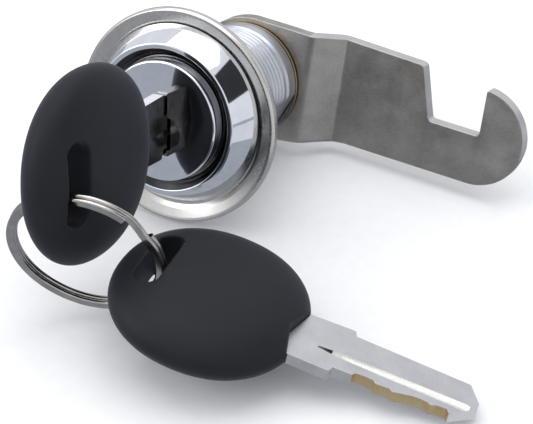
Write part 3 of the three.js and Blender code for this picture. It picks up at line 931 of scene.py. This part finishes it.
def bow(number, matrix):
    rows = []
    for i in range(1, BOW_OVER):
        rise = -math.pi / 2 + math.pi * i / BOW_OVER
        reach = power(math.cos(rise), 2 / BOW_FACE_POWER)
        height = BOW_THICKNESS / 2 * power(math.sin(rise), 2 / BOW_EDGE_POWER)
        row = []
        for t in around(BOW_AROUND):
            x = BOW_LENGTH / 2 * reach * power(math.cos(t), 2 / BOW_OUTLINE_POWER)
            y = BOW_WIDTH / 2 * reach * power(math.sin(t), 2 / BOW_OUTLINE_POWER)
            row.append((x, y - BOW_DROP, height))
        rows.append(row)
    obj = skin("bow", rows, caps=True)
    width, length = SLOT_WIDTH[number - 1], SLOT_LENGTH[number - 1]
    shift, end = SLOT_SHIFT[number - 1], (length - width) / 2
    slot = arc((SLOT_PLACE, shift + end), width / 2, 0, 180, 20)
    slot += arc((SLOT_PLACE, shift - end), width / 2, 180, 360, 20)
    hole = prism("cutter", [(a, b) for a, b, _ in slot], -10, 10)
    # The near face ends in a dent, from which the blade comes out.
    face = BLADE_THICKNESS / 2
    notch = [(17, 6, 0), (12.9, 4.9, 0.2), (11.6, -0.9, 0.8), (12.7, -4.7, 0.3), (17, -5.6, 0)]
    opening = prism("cutter", filleted(notch, 5), face - 0.1, 10)
    combined(obj, [hole])
    combined(obj, [opening])
    remesh = obj.modifiers.new("even", "REMESH")
    remesh.mode = "VOXEL"
    remesh.voxel_size = BOW_VOXEL
    soften = obj.modifiers.new("soften", "SMOOTH")
    soften.factor = 0.5
    soften.iterations = 3
    baked(obj)
    obj.data.shade_smooth()
    finished(
        obj, f"key_{number}_grip", matrix, f"key_{number}", [f"key_{number}_bow"],
        [black],
    )


# ---- split ring: two turns of flat wire, with a step where they cross ----


def split_ring():
    half, rise = RING_WIRE_WIDTH / 2, RING_WIRE_THICKNESS / 4 - 0.02
    section = filleted(rectangle(-half, half, -rise, rise, RING_EDGE), 5)
    ramp = math.radians(RING_STEP)
    start = math.radians(RING_START)
    total = 4 * math.pi - ramp
    rows = []
    for k in range(RING_ROWS + 1):
        t = total * k / RING_ROWS
        level = (t - (2 * math.pi - ramp)) / ramp
        level = max(0.0, min(1.0, level))
        level = level * level * (3 - 2 * level)
        height = (2 * level - 1) * (RING_WIRE_THICKNESS / 4)
        angle = start + t
        row = []
        for outward, over in section:
            r = RING_R + outward
            row.append((r * math.cos(angle), height + over, r * math.sin(angle)))
        rows.append(row)
    obj = shaded(skin("ring", rows, caps=True), 40)
    finished(obj, "split_ring_wire", RING, "ring", ["split_ring"], [wire])


housing()
trim_ring()
plug()
stop_washer()
cam()
lock_washer()
cam_screw()
for key_number, key_matrix in ((1, KEY_1), (2, KEY_2)):
    blade(key_number, key_matrix)
    bow(key_number, key_matrix)
split_ring()

# The tumblers, springs and retainer are shown as the CAD has them.
for node_name, node in frame["nodes"].items():
    inner = wafer_brass if node_name.startswith("wafer_") or node_name == "retainer" else None
    if "spring" in node_name:
        inner = spring_wire
    if inner:
        node.data.materials.clear()
        node.data.materials.append(inner)

# ---- floor, light and camera ----


def paper(name, dark, light):
    finish = Finish(name, 0.0, 0.2, own_place=False)
    fibre = finish.noise(2.0, detail=4.0)
    finish.colour(finish.colours(fibre, [(0.3, dark), (0.7, light)]))
    finish.shader.inputs["Roughness"].default_value = 0.9
    return finish.material


def sheet(name, low, high, height, finish):
    """A flat rectangle, for the floor and the cards."""
    verts = [(low[0], low[1], height), (high[0], low[1], height)]
    verts += [(high[0], high[1], height), (low[0], high[1], height)]
    obj = made(name, verts, [(0, 1, 2, 3)])
    obj.data.materials.append(finish)
    return obj


def only_reflected(obj):
    obj.visible_camera = False
    obj.visible_diffuse = False
    obj.visible_shadow = False


def area_light(name, place, size, power_w, colour):
    """A square light that faces the lock's origin."""
    data = bpy.data.lights.new(name, "AREA")
    data.shape = "RECTANGLE"
    data.size, data.size_y = size, size
    data.energy = power_w
    data.color = colour
    obj = bpy.data.objects.new(name, data)
    bpy.context.scene.collection.objects.link(obj)
    obj.location = origin + Vector(place)
    obj.rotation_mode = "QUATERNION"
    obj.rotation_quaternion = (-Vector(place)).to_track_quat("-Z", "Y")


def dark_card(name, place, size, finish):
    """A flag that only the metal's reflections see."""
    width, height = size
    obj = sheet(name, (-width, -height), (width, height), 0, finish)
    only_reflected(obj)
    obj.location = origin + Vector(place)
    obj.rotation_mode = "QUATERNION"
    obj.rotation_quaternion = (-Vector(place)).to_track_quat("Z", "Y")


# The stage is in metres, and it lies a little under the surface that the lock rests on.
# The metal reflects a duller floor than the one that is seen, as if flagged off.
FLOOR_LOW, FLOOR_HIGH = (-3, -3), (3, 3)
seen_paper = paper("floor_paper", (0.93, 0.93, 0.935), (0.96, 0.96, 0.962))
seen_floor = sheet("floor", FLOOR_LOW, FLOOR_HIGH, -0.0002, seen_paper)
seen_floor.visible_glossy = False
dull_paper = paper("dull_paper", (0.46, 0.48, 0.51), (0.52, 0.54, 0.57))
only_reflected(sheet("reflected_floor", FLOOR_LOW, FLOOR_HIGH, -0.0003, dull_paper))
# A bright patch that only the metal's reflections see lies over the dull floor there: a painted
# reflection.
bright_paper = paper("bright_paper", (0.93, 0.93, 0.95), (0.97, 0.97, 0.98))
only_reflected(sheet("bright_sheet", (0.035, -0.16), (0.32, 0.09), -0.00025, bright_paper))
area_light("overhead", (-0.10, 0.05, 0.55), 0.6, 1.6, (1.0, 0.99, 0.98))
area_light("left", (-0.45, -0.35, 0.30), 0.35, 1.1, (0.96, 0.98, 1.0))
flag_cloth = paper("flag_cloth", (0.02, 0.02, 0.022), (0.035, 0.035, 0.038))
dark_card("flag_upper_right", (0.40, 0.12, 0.36), (0.16, 0.16), flag_cloth)
dark_card("flag_front_right", (0.16, -0.52, 0.0), (0.19, 0.10), flag_cloth)

world = bpy.data.worlds.new("studio")
bpy.context.scene.world = world
world.use_nodes = True
background = world.node_tree.nodes["Background"]
background.inputs["Color"].default_value = (0.93, 0.95, 1.0, 1.0)
background.inputs["Strength"].default_value = 0.84

# The camera's place is from the lock's origin; back and right are its own axes.
CAMERA_PLACE = (123.037, -204.268, 164.280)
CAMERA_BACK = (0.37106, -0.70280, 0.60694)
CAMERA_RIGHT = (0.87833, 0.47777, 0.01625)
CAMERA_SENSOR = 36.0
CAMERA_LENS = 135.1
camera_data = bpy.data.cameras.new("camera")
camera_data.sensor_width = CAMERA_SENSOR
camera_data.lens = CAMERA_LENS
camera_data.clip_start = 0.01
camera_data.clip_end = 20.0
camera = bpy.data.objects.new("camera", camera_data)
bpy.context.scene.collection.objects.link(camera)
back_axis = Vector(CAMERA_BACK).normalized()
right_axis = Vector(CAMERA_RIGHT)
right_axis = (right_axis - back_axis * right_axis.dot(back_axis)).normalized()
axes = Matrix((right_axis, back_axis.cross(right_axis), back_axis)).transposed().to_4x4()
camera.matrix_world = Matrix.Translation(origin) @ placed(CAMERA_PLACE) @ axes
bpy.context.scene.camera = camera
bpy.context.scene.view_settings.view_transform = "Standard"
